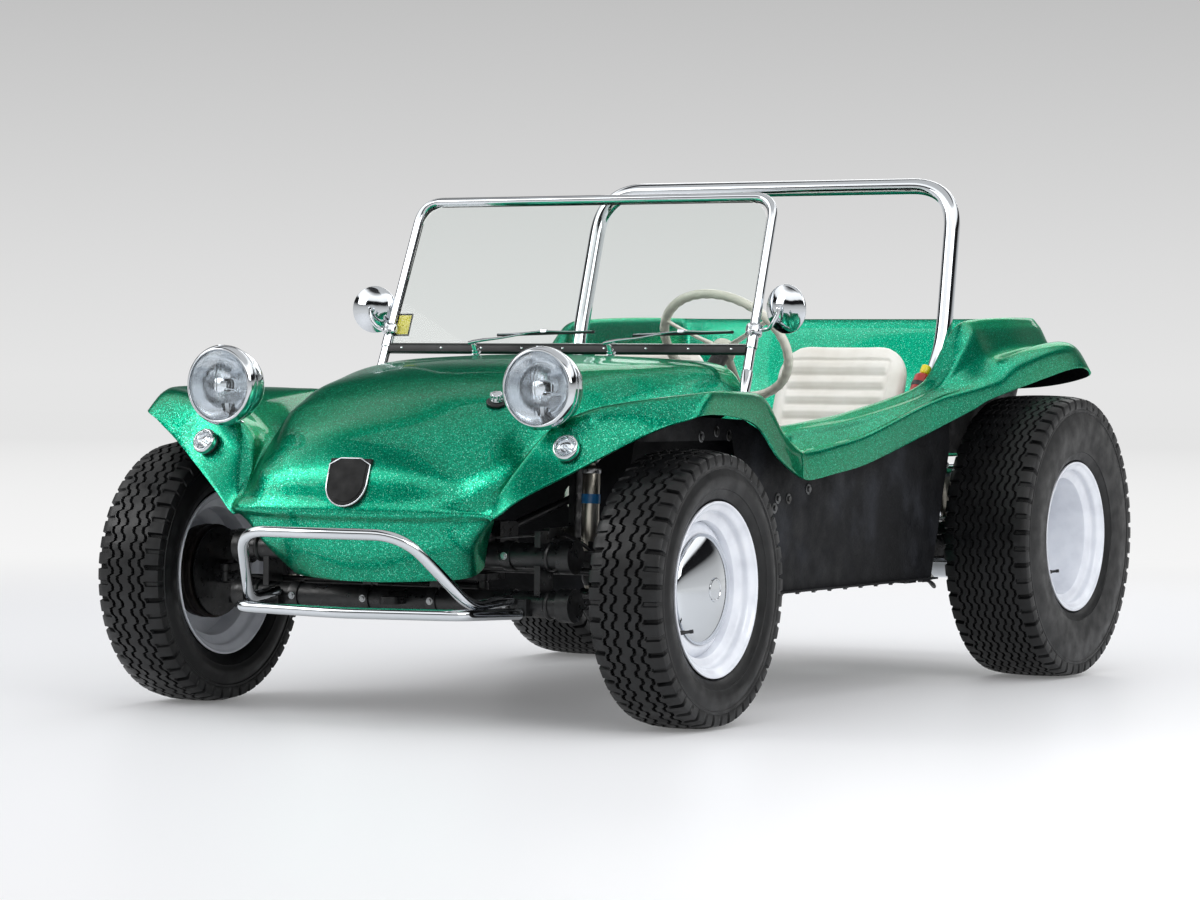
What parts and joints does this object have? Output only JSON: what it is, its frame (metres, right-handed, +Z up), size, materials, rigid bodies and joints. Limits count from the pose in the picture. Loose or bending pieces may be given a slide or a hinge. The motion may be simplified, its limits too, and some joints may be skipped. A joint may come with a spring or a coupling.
{
  "type": "dune buggy",
  "caption": "Open two-seat dune buggy with moulded body, windscreen, roll hoop, rear engine, wide rear tyres and linked steering.",
  "frame": {"origin": "on the ground, under the middle of the car's overall length and width", "axes": "+Z up, -Y towards the front of the car, +X towards its left side"},
  "size_m": [1.698, 3.2703, 1.3834],
  "materials": {
    "body_gelcoat": "metal flake under clear coat",
    "rough_black": "rough black undercoat",
    "black_paint": "satin black",
    "chrome": "polished",
    "wheel_paint": "gloss",
    "tyre_rubber": "matte",
    "seal_rubber": "matte",
    "screen_glass": "clear",
    "lamp_glass": "fluted",
    "seat_vinyl": "grained",
    "wheel_plastic": "smooth",
    "shock_metal": "satin",
    "engine_metal": "cast",
    "red_paint": "gloss",
    "red_lens": "smooth"
  },
  "bodies": {
    "chassis": {"floor_pan": "rough_black", "front_body": "body_gelcoat", "rear_body": "body_gelcoat", "side_panels": "rough_black", "firewall": "rough_black", "cargo_floor": "body_gelcoat", "dashboard": "rough_black", "windscreen_frame": "chrome", "windscreen_glass": "screen_glass", "windscreen_seal": "seal_rubber", "roll_hoop": "chrome", "front_bumper": "chrome", "rear_bumper": "chrome", "headlamps": "chrome", "turn_signals": "chrome", "tail_lamps": "red_lens", "mirrors": "chrome", "wipers": "chrome", "seat_left": "seat_vinyl", "seat_right": "seat_vinyl", "steering_column": "black_paint", "floor_levers": "black_paint", "fuel_cap": "chrome", "fire_bottle": "red_paint", "front_beam": "black_paint", "towing_eye": "black_paint", "brake_hoses": "seal_rubber", "front_shocks": "shock_metal", "transaxle": "black_paint", "rear_shocks": "shock_metal", "engine": "engine_metal", "exhaust": "chrome"},
    "knuckle_left": {"knuckle_left": "black_paint"},
    "knuckle_right": {"knuckle_right": "black_paint"},
    "wheel_front_left": {"tyre_front_left": "tyre_rubber", "rim_front_left": "wheel_paint", "cap_front_left": "chrome"},
    "wheel_front_right": {"tyre_front_right": "tyre_rubber", "rim_front_right": "wheel_paint", "cap_front_right": "chrome"},
    "wheel_rear_left": {"tyre_rear_left": "tyre_rubber", "rim_rear_left": "wheel_paint", "cap_rear_left": "chrome"},
    "wheel_rear_right": {"tyre_rear_right": "tyre_rubber", "rim_rear_right": "wheel_paint", "cap_rear_right": "chrome"},
    "pitman": {"pitman_arm": "black_paint"},
    "tie_rod_left": {"tie_rod_left": "black_paint"},
    "tie_rod_right": {"tie_rod_right": "black_paint"},
    "hand_wheel": {"steering_wheel": "wheel_plastic"}
  },
  "joints": [
    {"name": "steer_left", "type": "hinge", "parent": "chassis", "child": "knuckle_left", "pos_m": [0.575, -1.096, 0.328], "axis": [0, 0, 1], "range_deg": [-28, 28]},
    {"name": "steer_right", "type": "hinge", "parent": "chassis", "child": "knuckle_right", "pos_m": [-0.575, -1.096, 0.328], "axis": [0, 0, 1], "range_deg": [-28, 28]},
    {"name": "pitman_swing", "type": "hinge", "parent": "chassis", "child": "pitman", "pos_m": [0.17, -1.096, 0.343], "axis": [0, 0, 1], "range_deg": [-28, 28]},
    {"name": "tie_rod_left_pivot", "type": "hinge", "parent": "pitman", "child": "tie_rod_left", "pos_m": [0.15, -1.191, 0.343], "axis": [0, 0, 1], "range_deg": [-28, 28]},
    {"name": "tie_rod_right_pivot", "type": "hinge", "parent": "pitman", "child": "tie_rod_right", "pos_m": [0.19, -1.191, 0.343], "axis": [0, 0, 1], "range_deg": [-28, 28]},
    {"name": "hand_wheel_turn", "type": "hinge", "parent": "chassis", "child": "hand_wheel", "pos_m": [0.32, -0.196, 0.908], "axis": [0, 0.766, 0.6428], "range_deg": [-392, 392]},
    {"name": "spin_front_left", "type": "hinge", "parent": "knuckle_left", "child": "wheel_front_left", "pos_m": [0.694, -1.096, 0.328], "axis": [1, 0, 0], "continuous": true},
    {"name": "spin_front_right", "type": "hinge", "parent": "knuckle_right", "child": "wheel_front_right", "pos_m": [-0.694, -1.096, 0.328], "axis": [1, 0, 0], "continuous": true},
    {"name": "spin_rear_left", "type": "hinge", "parent": "chassis", "child": "wheel_rear_left", "pos_m": [0.723, 0.936, 0.392], "axis": [1, 0, 0], "continuous": true},
    {"name": "spin_rear_right", "type": "hinge", "parent": "chassis", "child": "wheel_rear_right", "pos_m": [-0.723, 0.936, 0.392], "axis": [1, 0, 0], "continuous": true}
  ],
  "couplings": [
    {"joint": "steer_right", "follows": "steer_left", "ratio": 1},
    {"joint": "pitman_swing", "follows": "steer_left", "ratio": 1},
    {"joint": "tie_rod_left_pivot", "follows": "steer_left", "ratio": -1},
    {"joint": "tie_rod_right_pivot", "follows": "steer_left", "ratio": -1},
    {"joint": "hand_wheel_turn", "follows": "steer_left", "ratio": 14}
  ]
}
